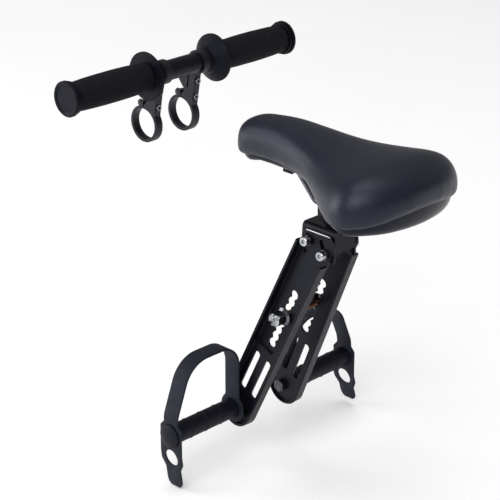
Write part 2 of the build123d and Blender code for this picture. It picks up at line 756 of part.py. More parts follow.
def base_stations(inset):
    """The saddle's stations with its ends set in."""
    low = TAIL_X + inset
    high = NOSE_X - inset
    return [low] + [x for x in saddle_stations() if low + STATION_GAP < x < high - STATION_GAP] + [high]


def base_section(x, inset, top, extra):
    """A four-sided section under the cover's edge, set in from it and drawn in towards its foot."""
    half, rim, crown, share = saddle_sizes(x)
    side = max(half - SADDLE_TUCK * share - inset, BASE_DRAFT)
    foot = side - BASE_DRAFT / 2
    upper = rim + top
    lower = rim - base_depth(x) - extra
    corners = [(-side, upper), (side, upper), (foot, lower), (-foot, lower)]
    return across(x) * make_face(Polyline(*corners, close=True))


def base_loft(inset, top, extra):
    return loft([base_section(x, inset, top, extra) for x in base_stations(inset)], ruled=True)


def rail_points():
    """Corners of the left rail's path from its front socket to its rear one."""
    front = rail_level + RAIL_NOSE_RISE
    rear = rail_level + RAIL_TAIL_RISE
    return [(RAIL_NOSE_X, RAIL_NOSE_HALF, front), (RAIL_NOSE_X - RAIL_NOSE_RUN, RAIL_NOSE_HALF, front),
            (RAIL_FRONT_BEND_X, RAIL_HALF, rail_level), (RAIL_REAR_BEND_X, RAIL_HALF, rail_level),
            (RAIL_TAIL_X + RAIL_TAIL_RUN, RAIL_TAIL_HALF, rear), (RAIL_TAIL_X, RAIL_TAIL_HALF, rear)]


def saddle_rail():
    path = FilletPolyline(*rail_points(), radius=RAIL_BEND_R)
    return sweep(Plane(origin=path @ 0, z_dir=path % 0) * Circle(RAIL_R), path=path)


def rail_socket(end, inward):
    """A block on the base's underside around the end of a rail."""
    x, y, z = end
    side = 2 * (RAIL_R + SOCKET_WALL)
    top = rim_height(x)
    height = top - z + RAIL_R + SOCKET_WALL
    middle = x + inward * (SOCKET_LENGTH / 2 - SOCKET_WALL)
    return Pos(middle, y, top - height / 2) * Box(SOCKET_LENGTH, side, height)


def saddle_base(cover):
    """A shallow moulded tray under the cover, with a skirt and four sockets for the rails."""
    body = base_loft(BASE_INSET, END_LIFT, 0)
    body -= base_loft(BASE_INSET + BASE_WALL, -BASE_PLATE, BASE_WALL)
    points = rail_points()
    for socket in (rail_socket(points[0], -1), rail_socket(points[-1], 1)):
        body += [socket, mirrored(socket)]
    path = FilletPolyline(*points, radius=RAIL_BEND_R)
    channel = sweep(Plane(origin=path @ 0, z_dir=path % 0) * Circle(RAIL_R + SEAT_GAP), path=path)
    return body - [channel, mirrored(channel)] - cover


# Rail clamp


def rail_grooves():
    start = (CLAMP_X - CLAMP_LENGTH, RAIL_HALF, rail_level)
    groove = rod(start, (1, 0, 0), RAIL_R + SEAT_GAP, 2 * CLAMP_LENGTH)
    return [groove, mirrored(groove)]


def clamp_block(bottom, top):
    """One half of the rail clamp, with grooves for the rails and a hole for the bolt."""
    width = 2 * (RAIL_HALF + CLAMP_MARGIN)
    block = Pos(CLAMP_X, 0, (bottom + top) / 2) * Box(CLAMP_LENGTH, width, top - bottom)
    block = fillet(block.edges().filter_by(Axis.X), CLAMP_ROUND)
    hole = rod((CLAMP_X, 0, bottom), (0, 0, 1), HEX_BOLT_R + SEAT_GAP, top - bottom)
    return block - rail_grooves() - hole


def rail_clamp_lower():
    """The cradle, narrowed to the bracket's width at its foot."""
    cradle = clamp_block(bracket_top, rail_level - CLAMP_GAP / 2)
    foot = wall_y(bracket_top) - BRACKET_BEND_R
    side = RAIL_HALF + 2 * CLAMP_MARGIN
    top = rail_level - RAIL_R - CLAMP_MARGIN / 2
    waste = make_face(Polyline((foot, bracket_top), (side, bracket_top), (side, top), close=True))
    wedge = extrude(across(CLAMP_X - CLAMP_LENGTH) * waste, 2 * CLAMP_LENGTH)
    return cradle - [wedge, mirrored(wedge)]


def rail_clamp_upper():
    return clamp_block(rail_level + CLAMP_GAP / 2, rail_level + CLAMP_PLATE)


def rail_clamp_bolt():
    seat = rail_level + CLAMP_PLATE
    bottom = bracket_top - SHEET - HEX_NUT_HEIGHT - BOLT_TAIL
    head = hexagon((CLAMP_X, 0, seat), (0, 0, 1), HEX_FLATS, HEX_HEAD_HEIGHT)
    return head + rod((CLAMP_X, 0, bottom), (0, 0, 1), HEX_BOLT_R, seat - bottom)


def rail_clamp_nut():
    top = (CLAMP_X, 0, bracket_top - SHEET)
    nut = hexagon(top, (0, 0, -1), HEX_FLATS, HEX_NUT_HEIGHT)
    return nut - rod(top, (0, 0, -1), HEX_BOLT_R + SEAT_GAP, HEX_NUT_HEIGHT)


# Child's handlebar

bar_bore = BAR_R + SEAT_GAP
guard_inner = STAY_HALF + STAY_THICK / 2 + SEAT_GAP
guard_cone_y = guard_inner + 2 * COLLAR_WIDTH + COLLAR_GAP
grip_start = guard_cone_y + GUARD_CONE + GUARD_EDGE


def bar_tube():
    tube = rod((BAR_X, -BAR_HALF, BAR_Z), (0, 1, 0), BAR_R, 2 * BAR_HALF)
    return tube - rod((BAR_X, -BAR_HALF, BAR_Z), (0, 1, 0), BAR_R - BAR_WALL, 2 * BAR_HALF)


def grip():
    """A foam grip that swells towards its middle."""
    middle = (grip_start + BAR_HALF) / 2
    outline = Polyline((GRIP_END_R, BAR_HALF), (bar_bore, BAR_HALF),
                       (bar_bore, grip_start), (GRIP_END_R, grip_start))
    swell = ThreePointArc((GRIP_END_R, grip_start), (GRIP_MID_R, middle), (GRIP_END_R, BAR_HALF))
    body = turned_face(make_face([*outline.edges(), swell.edge()]), BAR_X, BAR_Z)
    rims = body.edges().filter_by(GeomType.CIRCLE).filter_by(lambda e: abs(e.radius - GRIP_END_R) < TOUCH)
    return fillet(rims, GRIP_EDGE_R)


def hand_guard():
    """A conical disc on a hub with two collar rings."""
    first = guard_inner + COLLAR_WIDTH
    second = first + COLLAR_GAP
    rim = guard_cone_y + GUARD_CONE
    points = [(bar_bore, guard_inner), (COLLAR_R, guard_inner), (COLLAR_R, first), (GUARD_HUB_R, first),
              (GUARD_HUB_R, second), (COLLAR_R, second), (GUARD_ROOT_R, guard_cone_y), (GUARD_R, rim),
              (GUARD_R, grip_start), (GUARD_ROOT_R, grip_start), (bar_bore, grip_start)]
    return turned(points, BAR_X, BAR_Z)


def end_cap():
    """A dished cap with a thinner ring behind it and a plug inside the tube."""
    plug_r = BAR_R - BAR_WALL - SEAT_GAP
    ring = BAR_HALF + CAP_RING_THICK
    cap = ring + CAP_RING_GAP
    face = cap + CAP_THICK
    bevel_r = CAP_R - CAP_BEVEL
    lip_r = bevel_r - CAP_LIP
    points = [(0, BAR_HALF - CAP_PLUG_LENGTH), (plug_r, BAR_HALF - CAP_PLUG_LENGTH), (plug_r, BAR_HALF),
              (CAP_RING_R, BAR_HALF), (CAP_RING_R, ring), (CAP_NECK_R, ring), (CAP_NECK_R, cap), (CAP_R, cap),
              (CAP_R, face - CAP_BEVEL), (bevel_r, face), (lip_r, face),
              (lip_r - CAP_DISH_SLOPE, face - CAP_DISH), (0, face - CAP_DISH)]
    return turned(points, BAR_X, BAR_Z)


# Bar stays

stay_plane = Plane(origin=(BAR_X, STAY_HALF + STAY_THICK / 2, BAR_Z), x_dir=(1, 0, 0), z_dir=(0, -1, 0))
ring_place = Pos(RING_FORWARD, -RING_DROP)
ring_r = BIKE_BAR_R + RING_WALL
ring_top = -RING_DROP + ring_r
lug_top = ring_top + LUG_RISE
bead_place = Pos(RING_FORWARD, -RING_DROP - BIKE_BAR_R - RING_WALL / 2)
far = 4 * RING_DROP


def front_of_split(edge):
    """Everything in front of a line across the lower clamp."""
    return Pos(edge + far / 2, lug_top - far / 2) * Rectangle(far, far)


def slit():
    """The cut that lets the stay pinch the child's bar."""
    run = Vector(SLIT_FOOT[0] - SLIT_TOP[0], SLIT_FOOT[1] - SLIT_TOP[1])
    line = Plane(origin=(SLIT_TOP[0], SLIT_TOP[1], 0), x_dir=(run.X, run.Y, 0), z_dir=(0, 0, 1))
    return line * Pos(run.length / 2, 0) * Rectangle(run.length, SLIT_WIDTH)


def screw_axis(drop, forward):
    return (BAR_X + forward, STAY_HALF, BAR_Z - drop)


screw_drops = (PINCH_SCREW_DROP, LUG_SCREW_DROP)
screw_seats = (PINCH_SCREW_SEAT, LUG_SCREW_SEAT)
nut_seats = (PINCH_NUT_SEAT, RING_FORWARD + LUG_DEPTH)


def screw_cuts():
    """Holes for the screws, with flats for their heads and nuts."""
    cuts = []
    for drop, seat, nut in zip(screw_drops, screw_seats, nut_seats):
        cuts.append(rod(screw_axis(drop, -far), (1, 0, 0), SCREW_R + SEAT_GAP, 2 * far))
        cuts.append(rod(screw_axis(drop, seat), (-1, 0, 0), SCREW_HEAD_R + SOFT_GAP, far))
        cuts.append(rod(screw_axis(drop, nut), (1, 0, 0), SCREW_NUT_FLATS / sqrt(3) + SOFT_GAP, far))
    return cuts


def bar_stay():
    """A ring on the child's bar with a pinch jaw, and the rear half of the lower ring."""
    split_edge = RING_FORWARD - CLAMP_SPLIT / 2
    arm = make_face(Polyline((0, 0), STAY_REAR_TOP, STAY_REAR_FOOT, (RING_FORWARD, -RING_DROP),
                             (RING_FORWARD, ring_top), STAY_NECK, JAW_FOOT, JAW_TOP, close=True))
    outline = arm + Circle(STAY_RING_R) + ring_place * Circle(ring_r)
    outline -= front_of_split(split_edge)
    outline -= ring_place * Circle(BIKE_BAR_R)
    outline -= Circle(bar_bore)
    outline -= bead_place * Circle(BEAD_R + SEAT_GAP)
    return extrude(stay_plane * (outline - slit()), STAY_THICK) - screw_cuts()


def clamp_cap():
    """The front half ring with an ear for the lug screw and a bead that locks its lower end."""
    ear_height = lug_top + RING_DROP
    ear = Pos(RING_FORWARD + LUG_DEPTH / 2, -RING_DROP + ear_height / 2) * Rectangle(LUG_DEPTH, ear_height)
    outline = ring_place * Circle(ring_r) + ear
    outline = outline & front_of_split(RING_FORWARD + CLAMP_SPLIT / 2)
    outline += bead_place * Circle(BEAD_R)
    bridge = Pos(RING_FORWARD + CLAMP_SPLIT / 2, -RING_DROP - BIKE_BAR_R - RING_WALL / 2)
    outline += bridge * Rectangle(CLAMP_SPLIT, BEAD_R)
    outline -= ring_place * Circle(BIKE_BAR_R)
    return extrude(stay_plane * outline, STAY_THICK) - screw_cuts()


def clamp_screw(index):
    drop, seat, nut = screw_drops[index], screw_seats[index], nut_seats[index]
    length = nut + SCREW_NUT_HEIGHT + SCREW_TAIL - seat
    shank = rod(screw_axis(drop, seat), (1, 0, 0), SCREW_R, length)
    head = rod(screw_axis(drop, seat), (-1, 0, 0), SCREW_HEAD_R, SCREW_HEAD_HEIGHT)
    floor = seat - SCREW_HEAD_HEIGHT + SCREW_SOCKET_DEPTH
    socket = hexagon(screw_axis(drop, floor), (-1, 0, 0), SCREW_SOCKET_FLATS, SCREW_SOCKET_DEPTH)
    return shank + head - socket


def clamp_nut(index):
    start = screw_axis(screw_drops[index], nut_seats[index])
    nut = hexagon(start, (1, 0, 0), SCREW_NUT_FLATS, SCREW_NUT_HEIGHT)
    return nut - rod(start, (1, 0, 0), SCREW_R + SEAT_GAP, SCREW_NUT_HEIGHT)


def both_stays(make):
    """A fastener of the left stay's two places and its twins on the right stay."""
    left = [make(0), make(1)]
    return Compound(children=left + [mirrored(piece) for piece in left])


cover = saddle_cover()

PIECES = {
    "seat_bracket": seat_bracket(),
    "tube_pad": tube_pad(),
    "leg_left": leg(),
    "leg_bolts": four_of(leg_bolt),
    "leg_washers": four_of(leg_washer),
    "leg_spring_washers": four_of(leg_spring_washer),
    "leg_nuts": four_of(leg_nut),
    "cross_bolt": cross_bolt(),
    "cross_nut": cross_nut(),
    "cup_washer_left": cup_washer(),
    "foot_peg_left": foot_peg(),
    "peg_bolt_left": peg_bolt(),
    "foot_strap_left": foot_strap(STRAP_RISE, STRAP_TIP_DROP, STRAP_TIP_INSET),
    "foot_strap_right": right_strap(),
    "saddle_cover": cover,
    "saddle_base": saddle_base(cover),
    "saddle_rail_left": saddle_rail(),
    "rail_clamp_lower": rail_clamp_lower(),
    "rail_clamp_upper": rail_clamp_upper(),
    "rail_clamp_bolt": rail_clamp_bolt(),
    "rail_clamp_nut": rail_clamp_nut(),
    "bar_tube": bar_tube(),
    "bar_stay_left": bar_stay(),
    "clamp_cap_left": clamp_cap(),
    "clamp_screws": both_stays(clamp_screw),
    "clamp_nuts": both_stays(clamp_nut),
    "grip_left": grip(),
    "hand_guard_left": hand_guard(),
    "end_cap_left": end_cap(),
}

for name in [name for name in PIECES if name.endswith("_left")]:
    PIECES.setdefault(name.replace("_left", "_right"), mirrored(PIECES[name]))

os.makedirs("parts", exist_ok=True)
for name, piece in PIECES.items():
    export_step(piece, f"parts/{name}.step")
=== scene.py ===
"""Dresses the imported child's bicycle seat with its materials, soft pieces, studio and camera."""

import json
from math import cos, pi, radians, sin

import bmesh
import bpy
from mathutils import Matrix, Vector, noise

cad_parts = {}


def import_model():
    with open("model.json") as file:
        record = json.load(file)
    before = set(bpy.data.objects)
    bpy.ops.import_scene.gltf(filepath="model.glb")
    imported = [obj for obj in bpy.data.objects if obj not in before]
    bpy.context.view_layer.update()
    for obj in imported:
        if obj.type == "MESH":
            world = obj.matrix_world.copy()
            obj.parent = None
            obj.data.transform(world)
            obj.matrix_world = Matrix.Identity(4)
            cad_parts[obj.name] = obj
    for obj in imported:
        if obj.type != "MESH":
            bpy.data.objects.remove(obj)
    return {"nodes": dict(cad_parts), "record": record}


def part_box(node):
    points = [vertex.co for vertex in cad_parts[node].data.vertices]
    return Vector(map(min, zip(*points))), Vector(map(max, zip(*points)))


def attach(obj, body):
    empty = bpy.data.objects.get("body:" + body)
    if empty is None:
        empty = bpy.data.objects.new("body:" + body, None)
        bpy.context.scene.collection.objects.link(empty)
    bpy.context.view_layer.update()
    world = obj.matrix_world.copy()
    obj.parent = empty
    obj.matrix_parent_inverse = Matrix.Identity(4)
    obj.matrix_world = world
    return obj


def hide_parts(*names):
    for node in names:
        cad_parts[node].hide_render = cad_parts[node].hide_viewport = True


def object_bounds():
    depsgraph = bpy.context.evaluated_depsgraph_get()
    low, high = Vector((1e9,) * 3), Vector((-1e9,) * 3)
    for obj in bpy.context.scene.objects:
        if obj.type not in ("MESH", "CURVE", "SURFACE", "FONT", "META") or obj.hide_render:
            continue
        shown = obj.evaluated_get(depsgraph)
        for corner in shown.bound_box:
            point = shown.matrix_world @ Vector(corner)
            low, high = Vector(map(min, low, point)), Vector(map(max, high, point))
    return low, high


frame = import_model()
cad_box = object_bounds()
nodes = frame["nodes"]

SIDES = ("left", "right")

# Photo frame, in pixels, millimetres of film, metres and degrees
IMAGE_SIZE = 500
FOCAL_PIXELS = 1817
SENSOR = 36.0
CAMERA_PLACE = Vector((-1.1735, 1.297, 0.747))
CAMERA_DROP = 22.75
CAMERA_TURN = 44.85

# Mesh work
WELD_GAP = 1e-6
FLAT_ANGLE = radians(0.5)
SHARP_ANGLE = radians(40)

# Saddle cover, with its cloth held along the underside
SADDLE_VOXEL = 0.004
SADDLE_SLACK = 0.0015
SADDLE_PRESSURE = 4.0
SADDLE_FRAMES = 20
SADDLE_SWELL = 0.002
SADDLE_HELD_SLOPE = -0.4
SADDLE_SMOOTHING = 14
SADDLE_SOFTNESS = 0.5

# Filling of the cover: a share of the height above its foot, and moves at both ends
FILL_FOOT = 0.095
FILL_SHARE = 0.09
TAIL_FILL_SHARE = 0.1
TAIL_FILL_X = -0.06
TAIL_FILL_RUN = 0.05
TAIL_EDGE = 0.002
NOSE_EDGE = 0.003
NOSE_FILL_X = 0.095
NOSE_FILL_RUN = 0.02
NOSE_LIP = 0.006
NOSE_LIP_TOP = 0.125
NOSE_LIP_RUN = 0.022

# Saddle shell under the cover's edge: floors are heights, and tail and nose begin at places along X
SHELL_POINTS = 150
SHELL_ARC_STEPS = 8
SHELL_UNDERSIDE_SLOPE = -0.4
SHELL_EVENING = 6
SHELL_END_CUT = 0.006
SHELL_END_DEPTH = 0.0003
SHELL_END_STEPS = 8
SHELL_INSET = 0.004
SHELL_TOP = 0.0015
SHELL_DEPTH = 0.0035
SHELL_FLOOR = 0.0765
SHELL_TAIL_X = -0.06
SHELL_TAIL_RUN = 0.03
SHELL_NOSE_FLOOR = 0.0945
SHELL_NOSE_X = 0.075
SHELL_NOSE_RUN = 0.025
SHELL_ROUND = 0.009
SHELL_ROUND_SHARE = 0.8
SHELL_NOSE_ROUND = 0.004
SHELL_WALL = 0.003
SHELL_PLATE = 0.0025

# Sockets for the rails
SOCKET_LENGTH = 0.012
SOCKET_WALL = 0.001
SOCKET_ROUND = 0.001
SOCKET_ROUND_STEPS = 2
RAIL_RADIUS = 0.0035
RAIL_END_DEPTH = 0.001

# Foot straps
STRAP_ROUND = 0.0007
STRAP_ROUND_STEPS = 3

# Foam grips
FOAM_RINGS = 120
FOAM_SIDES = 96
FOAM_ROUND = 0.0022
FOAM_SWELL = 0.0015
FOAM_BORE = 0.01115
FOAM_PORE = 0.0012
FOAM_PORE_DEPTH = 0.00018
FOAM_WAVE = 0.016
FOAM_WAVE_DEPTH = 0.0003

# Studio, with each lamp's azimuth, elevation and level
LAMPS = {"top": (0, 88, 0.3), "key": (118, 42, 0.5), "side": (36, 14, 0.5)}
WORLD_LEVEL = 0.3
LAMP_REACH = 5.0
LAMP_SIZE = 3.0
FLOOR_REACH = 20.0
FLOOR_GAP = 0.002
FLOOR_GLOW = 0.2

# Looks: noises and their usual range, the bend at which an edge gets its paler tone (partly wear, partly
# painted highlight), the wave node's turn per unit
NOISE_DETAIL = 3.0
NOISE_ROUGHNESS = 0.55
NOISE_LOW = 0.3
NOISE_HIGH = 0.7
EDGE_SHEEN_WEAR_BEND_START = 0.96
EDGE_SHEEN_WEAR_BEND_FULL = 0.8
EDGE_SHEEN_WEAR_LEAST = 0.1
EDGE_SHEEN_WEAR_MOST = 0.8
BEVEL_SAMPLES = 4
WAVE_TURN = 20
THREAD_PITCH = 0.00125
COOL_GLOSS = (0.8, 0.84, 1.0, 1.0)
# Depth below the legs' top of the painted highlight on their cut edge
LEG_HIGHLIGHT_EDGE = 0.0009


# Materials


def linear(level):
    """A colour level from 0 to 255 as linear light."""
    share = level / 255
    return share / 12.92 if share <= 0.04045 else ((share + 0.055) / 1.055) ** 2.4


def colour(red, green, blue):
    """A colour from three levels, as shaders take it."""
    return (linear(red), linear(green), linear(blue), 1.0)


class Finish:
    """A material that is built up node by node around one surface shader."""

    def __init__(self, name, metallic=0.0, specular=0.5):
        self.material = bpy.data.materials.new(name)
        self.material.use_nodes = True
        self.tree = self.material.node_tree
        self.surface = self.tree.nodes["Principled BSDF"]
        self.surface.inputs["Metallic"].default_value = metallic
        self.surface.inputs["Specular IOR Level"].default_value = specular
        if not metallic:
            self.surface.inputs["Specular Tint"].default_value = COOL_GLOSS
        self.place = self.node("ShaderNodeTexCoord").outputs["Object"]
        self.normal = None
        self.base = None

    def node(self, kind, **sockets):
        made = self.tree.nodes.new(kind)
        for socket, value in sockets.items():
            made.inputs[socket.replace("_", " ").title()].default_value = value
        return made

    def link(self, source, target):
        self.tree.links.new(source, target)

    def noise(self, scale):
        made = self.node("ShaderNodeTexNoise", scale=scale, detail=NOISE_DETAIL, roughness=NOISE_ROUGHNESS)
        self.link(self.place, made.inputs["Vector"])
        return made.outputs["Fac"]

    def cells(self, scale):
        made = self.node("ShaderNodeTexVoronoi", scale=scale)
        self.link(self.place, made.inputs["Vector"])
        return made.outputs["Distance"]

    def threads(self, direction, pitch):
        """Even ridges along one axis."""
        made = self.node("ShaderNodeTexWave", scale=2 * pi / (WAVE_TURN * pitch))
        made.bands_direction = direction
        made.wave_profile = "TRI"
        self.link(self.place, made.inputs["Vector"])
        return made.outputs["Fac"]

    def spread(self, source, low, high):
        """A number that runs between two others as its source goes over its usual range."""
        made = self.node("ShaderNodeMapRange", from_min=NOISE_LOW, from_max=NOISE_HIGH,
                         to_min=low, to_max=high)
        self.link(source, made.inputs["Value"])
        return made.outputs["Result"]

    def tint(self, source, low_colour, high_colour):
        """A colour that runs between two others as its source goes over its usual range."""
        made = self.node("ShaderNodeValToRGB")
        first, last = made.color_ramp.elements
        first.position, first.color = NOISE_LOW, low_colour
        last.position, last.color = NOISE_HIGH, high_colour
        self.link(source, made.inputs["Fac"])
        self.base = made.outputs["Color"]
        self.link(self.base, self.surface.inputs["Base Color"])

    def gloss(self, source, low, high):
        self.link(self.spread(source, low, high), self.surface.inputs["Roughness"])

    def round_edges(self, radius):
        """Edges that catch the light as rounded ones do."""
        made = self.node("ShaderNodeBevel", radius=radius)
        made.samples = BEVEL_SAMPLES
        self.normal = made.outputs["Normal"]
        self.link(self.normal, self.surface.inputs["Normal"])

    def edge_sheen_and_wear(self, sheen_and_wear_colour, patches):
        """A paler tone in patches along the rounded edges: partly wear, partly a painted highlight where
        edges catch the light.
        """
        bend = self.node("ShaderNodeVectorMath")
        bend.operation = "DOT_PRODUCT"
        self.link(self.normal, bend.inputs[0])
        self.link(self.node("ShaderNodeNewGeometry").outputs["True Normal"], bend.inputs[1])
        edge = self.node("ShaderNodeMapRange", from_min=EDGE_SHEEN_WEAR_BEND_START, from_max=EDGE_SHEEN_WEAR_BEND_FULL)
        self.link(bend.outputs["Value"], edge.inputs["Value"])
        share = self.node("ShaderNodeMath")
        share.operation = "MULTIPLY"
        self.link(edge.outputs["Result"], share.inputs[0])
        self.link(self.spread(patches, EDGE_SHEEN_WEAR_LEAST, EDGE_SHEEN_WEAR_MOST), share.inputs[1])
        self.lay_over(share.outputs["Value"], sheen_and_wear_colour)

    def painted_highlight_above(self, level, highlight_colour):
        """A painted highlight: a pale colour laid over everything above a level."""
        parts = self.node("ShaderNodeSeparateXYZ")
        self.link(self.place, parts.inputs["Vector"])
        above = self.node("ShaderNodeMath")
        above.operation = "GREATER_THAN"
        above.inputs[1].default_value = level
        self.link(parts.outputs["Z"], above.inputs[0])
        self.lay_over(above.outputs["Value"], highlight_colour)

    def lay_over(self, share, upper_colour):
        """Covers the colour made so far with another one by a share."""
        mix = self.node("ShaderNodeMix")
        mix.data_type = "RGBA"
        self.link(share, mix.inputs["Factor"])
        self.link(self.base, mix.inputs["A"])
        mix.inputs["B"].default_value = upper_colour
        self.base = mix.outputs["Result"]
        self.link(self.base, self.surface.inputs["Base Color"])

    def relief(self, source, depth):
        """Fine bumps of that depth, on top of those made before."""
        made = self.node("ShaderNodeBump", distance=depth)
        self.link(source, made.inputs["Height"])
        if self.normal:
            self.link(self.normal, made.inputs["Normal"])
        self.normal = made.outputs["Normal"]
        self.link(self.normal, self.surface.inputs["Normal"])

    def white_to_the_eye(self, glow):
        """A glow for the camera, mirrors and glass alone, which lights nothing else."""
        rays = self.node("ShaderNodeLightPath")
        seen = rays.outputs["Is Camera Ray"]
        for kind in ("Is Glossy Ray", "Is Transmission Ray"):
            either = self.node("ShaderNodeMath")
            either.operation = "MAXIMUM"
            self.link(seen, either.inputs[0])
            self.link(rays.outputs[kind], either.inputs[1])
            seen = either.outputs["Value"]
        share = self.node("ShaderNodeMath")
        share.operation = "MULTIPLY"
        share.inputs[1].default_value = glow
        self.link(seen, share.inputs[0])
        self.surface.inputs["Emission Color"].default_value = (1, 1, 1, 1)
        self.link(share.outputs["Value"], self.surface.inputs["Emission Strength"])


def vinyl():
    """Soft grained vinyl with a satin sheen."""
    made = Finish("vinyl", specular=0.42)
    made.tint(made.noise(14), colour(15, 19, 30), colour(21, 25, 37))
    made.gloss(made.noise(60), 0.38, 0.44)
    made.relief(made.cells(1100), 0.00008)
    made.relief(made.noise(2600), 0.00004)
    return made.material


def base_plastic():
    made = Finish("base_plastic", specular=0.22)
    made.tint(made.noise(20), colour(14, 16, 24), colour(19, 21, 30))
    made.gloss(made.noise(90), 0.20, 0.28)
    made.relief(made.noise(900), 0.00003)
    return made.material


def black_paint(name):
    """Baked black enamel with a slight orange peel, paler along its edges, partly from rubbing and partly as
    painted highlight.
    """
    made = Finish(name, specular=0.2)
    made.tint(made.noise(30), colour(10, 11, 17), colour(15, 16, 23))
    made.gloss(made.noise(120), 0.32, 0.42)
    made.round_edges(0.0006)
    # paler edge tone: partly wear, partly a painted highlight of the light the edges catch
    made.edge_sheen_and_wear(colour(74, 74, 78), made.noise(160))
    made.relief(made.noise(700), 0.00004)
    return made


def leg_paint():
    """The enamel with a painted highlight along its cut top edge, where the edge catches the light."""
    made = black_paint("leg_paint")
    # painted highlight: near-white along the leg's cut top edge, standing in for the light that edge catches
    made.painted_highlight_above(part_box("leg_left")[1].z - LEG_HIGHLIGHT_EDGE, colour(246, 246, 249))
    return made.material


def plated_steel(name, low_colour, high_colour):
    """Bright plating with soft streaks."""
    made = Finish(name, metallic=1.0)
    made.tint(made.noise(80), low_colour, high_colour)
    made.gloss(made.noise(300), 0.16, 0.28)
    made.relief(made.noise(1500), 0.00001)
    return made.material


def dark_steel():
    made = Finish("dark_steel", metallic=1.0)
    made.tint(made.noise(200), colour(70, 70, 74), colour(104, 104, 108))
    made.gloss(made.noise(400), 0.30, 0.45)
    made.relief(made.noise(2000), 0.00002)
    return made.material


def yellow_zinc():
    """Yellow passivated zinc, dulled to a warm brown, with a rolled thread."""
    made = Finish("yellow_zinc", metallic=1.0)
    made.tint(made.noise(120), colour(98, 64, 54), colour(136, 98, 82))
    made.gloss(made.noise(400), 0.24, 0.38)
    made.relief(made.threads("Y", THREAD_PITCH), 0.0004)
    return made.material


def rubber(name, low_colour, high_colour, low_gloss, high_gloss, specular=0.25):
    """Moulded rubber with a fine dull grain."""
    made = Finish(name, specular=specular)
    made.tint(made.noise(40), low_colour, high_colour)
    made.gloss(made.noise(150), low_gloss, high_gloss)
    made.round_edges(0.0005)
    made.relief(made.noise(1600), 0.00005)
    return made.material


def foam():
    """Closed-cell foam with a skin of small pores."""
    made = Finish("foam", specular=0.2)
    made.tint(made.noise(220), colour(15, 15, 18), colour(23, 23, 27))
    made.gloss(made.noise(300), 0.78, 0.92)
    made.relief(made.cells(900), 0.00020)
    made.relief(made.noise(3000), 0.00010)
    return made.material


def nylon():
    made = Finish("nylon", specular=0.35)
    made.tint(made.noise(50), colour(12, 12, 15), colour(18, 18, 22))
    made.gloss(made.noise(200), 0.40, 0.52)
    made.round_edges(0.0006)
    made.relief(made.noise(1200), 0.00004)
    return made.material


finishes = {
    "vinyl": vinyl(),
    "base_plastic": base_plastic(),
    "black_paint": black_paint("black_paint").material,
    "leg_paint": leg_paint(),
    "chrome": plated_steel("chrome", colour(168, 170, 175), colour(196, 198, 202)),
    # painted shade: a dark chrome whose colour stands in for the dark reflections the rails show
    "rail_chrome_painted_shade": plated_steel("rail_chrome_painted_shade", colour(58, 59, 66), colour(84, 85, 93)),
    # painted shade: a darker chrome whose colour stands in for the dark reflections of the cup washers and
    # clamp screws
    "chrome_painted_shade": plated_steel("chrome_painted_shade", colour(92, 93, 101), colour(118, 119, 127)),
    "dark_steel": dark_steel(),
    "yellow_zinc": yellow_zinc(),
    "rubber": rubber("rubber", colour(9, 10, 17), colour(14, 15, 24), 0.50, 0.62),
    "strap_rubber": rubber("strap_rubber", colour(24, 26, 35), colour(31, 33, 43), 0.55, 0.70),
    "guard_rubber": rubber("guard_rubber", colour(10, 11, 18), colour(15, 16, 24), 0.45, 0.56, 0.14),
    "foam": foam(),
    "nylon": nylon(),
}


def dress(piece, finish):
    piece.data.materials.clear()
    piece.data.materials.append(finishes[finish])


for row in frame["record"]["subparts"]:
    dress(nodes[row["node"]], row["material_slot"])
for side in SIDES:
    dress(nodes[f"leg_{side}"], "leg_paint")
    # painted shade: the rails get the darkened chrome in place of dark reflections
    dress(nodes[f"saddle_rail_{side}"], "rail_chrome_painted_shade")
    # painted shade: the cup washers get the darkened chrome in place of dark reflections
    dress(nodes[f"cup_washer_{side}"], "chrome_painted_shade")
# painted shade: the clamp screws get the darkened chrome in place of dark reflections
dress(nodes["clamp_screws"], "chrome_painted_shade")


# Soft pieces


def new_piece(name, data):
    piece = bpy.data.objects.new(name, data)
    bpy.context.scene.collection.objects.link(piece)
    return piece


def stand_in(piece, node, finish):
    """Puts a modelled piece in the place of a CAD node."""
    dress(piece, finish)
    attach(piece, "root")
    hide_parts(node)


def apply_modifiers(piece):
    graph = bpy.context.evaluated_depsgraph_get()
    mesh = bpy.data.meshes.new_from_object(piece.evaluated_get(graph))
    piece.modifiers.clear()
    piece.data = mesh


def smooth_shading(mesh):
    mesh.polygons.foreach_set("use_smooth", [True] * len(mesh.polygons))


def welded_copy(node):
    """The shape of a CAD node with its split corners joined."""
    shape = bmesh.new()
    shape.from_mesh(nodes[node].data)
    bmesh.ops.remove_doubles(shape, verts=shape.verts, dist=WELD_GAP)
    return shape


def round_off(shape, edges, radius, steps):
    """Rounds some edges of a shape."""
    bmesh.ops.bevel(shape, geom=edges, offset=radius, segments=steps, profile=0.5, affect="EDGES")


def smooth_mesh(shape, name):
    """A smoothly shaded mesh of a shape that isn't needed any more."""
    mesh = bpy.data.meshes.new(name)
    shape.to_mesh(mesh)
    shape.free()
    smooth_shading(mesh)
    return mesh


def eased(share):
    """A step from 0 to 1 that starts and ends level."""
    share = min(max(share, 0.0), 1.0)
    return share * share * (3 - 2 * share)


def fill_cover(piece):
    """Fills the cover up to its height in the photo, moves both ends outwards and the nose's lip down."""
    moves = []
    for vertex in piece.data.vertices:
        place, normal = vertex.co, vertex.normal
        tail = eased((TAIL_FILL_X - place.x) / TAIL_FILL_RUN)
        nose = eased((place.x - NOSE_FILL_X) / NOSE_FILL_RUN)
        rise = max(place.z - FILL_FOOT, 0) * (FILL_SHARE + TAIL_FILL_SHARE * tail)
        lip = NOSE_LIP * nose * eased((NOSE_LIP_TOP - place.z) / NOSE_LIP_RUN)
        outwards = TAIL_EDGE * tail + NOSE_EDGE * nose
        moves.append(Vector((outwards * normal.x, outwards * normal.y, rise - lip)))
    for vertex, move in zip(piece.data.vertices, moves):
        vertex.co += move


